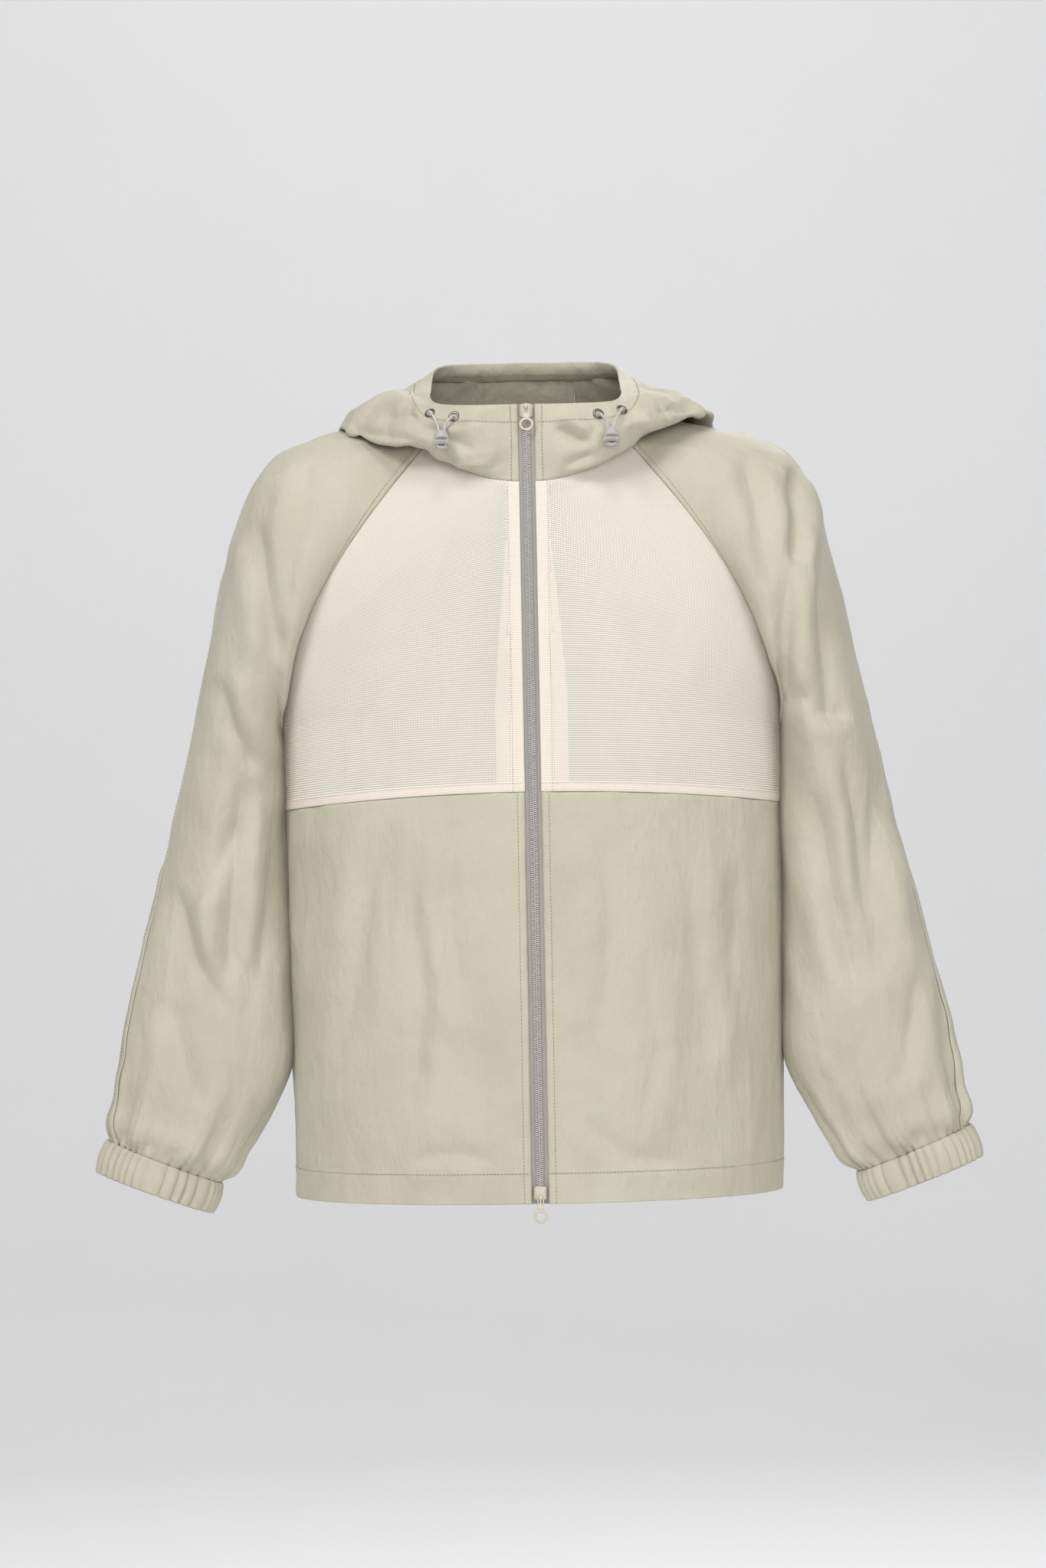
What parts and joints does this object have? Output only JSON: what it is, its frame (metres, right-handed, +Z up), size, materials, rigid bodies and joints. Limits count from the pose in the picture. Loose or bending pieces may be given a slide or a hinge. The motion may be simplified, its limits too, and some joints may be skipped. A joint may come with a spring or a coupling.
{
  "type": "hooded zip jacket",
  "caption": "Light hooded zip jacket with mesh chest panels, raglan sleeves, elastic cuffs, side pockets, a two-way zip and a drawcord at the hood.",
  "frame": {"origin": "where a hook bears on the hang loop, inside the back of the neck", "axes": "+Z up, -Y out of the front of the jacket, +X to the wearer's left"},
  "size_m": [0.7198, 0.3232, 0.7045],
  "materials": {
    "shell": "light khaki plain-weave nylon, soft sheen, fine crinkle",
    "mesh": "white open polyester mesh",
    "zip_tape": "grey woven tape",
    "zip_coil": "silver grey coil",
    "slider_paint": "khaki enamel",
    "eyelet_metal": "dark nickel, polished",
    "cord": "braided elastic cord",
    "stopper": "translucent grey moulded plastic",
    "elastic": "knitted elastic"
  },
  "bodies": {
    "garment": {"left_front_panel": "shell", "right_front_panel": "shell", "left_mesh_yoke": "mesh", "right_mesh_yoke": "mesh", "back_panel": "shell", "left_sleeve_front": "shell", "right_sleeve_front": "shell", "left_sleeve_back": "shell", "right_sleeve_back": "shell", "left_cuff": "shell", "right_cuff": "shell", "left_cuff_elastic": "elastic", "right_cuff_elastic": "elastic", "hood_left": "shell", "hood_right": "shell", "hood_centre": "shell", "hood_rim_casing": "shell", "neck_tape": "zip_tape", "hang_loop": "zip_tape", "left_zip_facing": "mesh", "right_zip_facing": "mesh", "left_zip_tape": "zip_tape", "right_zip_tape": "zip_tape", "left_zip_coil": "zip_coil", "right_zip_coil": "zip_coil", "zip_top_stops": "zip_coil", "left_pocket_bag": "mesh", "right_pocket_bag": "mesh", "left_inner_eyelet": "eyelet_metal", "left_outer_eyelet": "eyelet_metal", "right_inner_eyelet": "eyelet_metal", "right_outer_eyelet": "eyelet_metal", "hood_drawcord": "cord", "left_cord_loop": "cord", "right_cord_loop": "cord"},
    "top_slider": {"top_slider": "slider_paint"},
    "top_pull": {"top_pull": "slider_paint"},
    "bottom_slider": {"bottom_slider": "slider_paint"},
    "bottom_pull": {"bottom_pull": "slider_paint"},
    "left_cord_stopper": {"left_cord_stopper": "stopper"},
    "right_cord_stopper": {"right_cord_stopper": "stopper"}
  },
  "joints": [
    {"name": "top_slider_travel", "type": "slide", "parent": "garment", "child": "top_slider", "axis": [0, -0.0457, -0.999], "range_m": [0, 0.32]},
    {"name": "bottom_slider_travel", "type": "slide", "parent": "garment", "child": "bottom_slider", "axis": [0, 0.0457, 0.999], "range_m": [0, 0.26]},
    {"name": "top_pull_swing", "type": "hinge", "parent": "top_slider", "child": "top_pull", "pos_m": [0, -0.17948, 0.01833], "axis": [-1, 0, 0], "range_deg": [0, 170]},
    {"name": "bottom_pull_swing", "type": "hinge", "parent": "bottom_slider", "child": "bottom_pull", "pos_m": [0, -0.20837, -0.61386], "axis": [-1, 0, 0], "range_deg": [0, 170]},
    {"name": "left_stopper_slide", "type": "slide", "parent": "garment", "child": "left_cord_stopper", "axis": [0, 0.5, 0.866], "range_m": [0, 0.004]},
    {"name": "right_stopper_slide", "type": "slide", "parent": "garment", "child": "right_cord_stopper", "axis": [0, 0.5, 0.866], "range_m": [0, 0.004]}
  ]
}
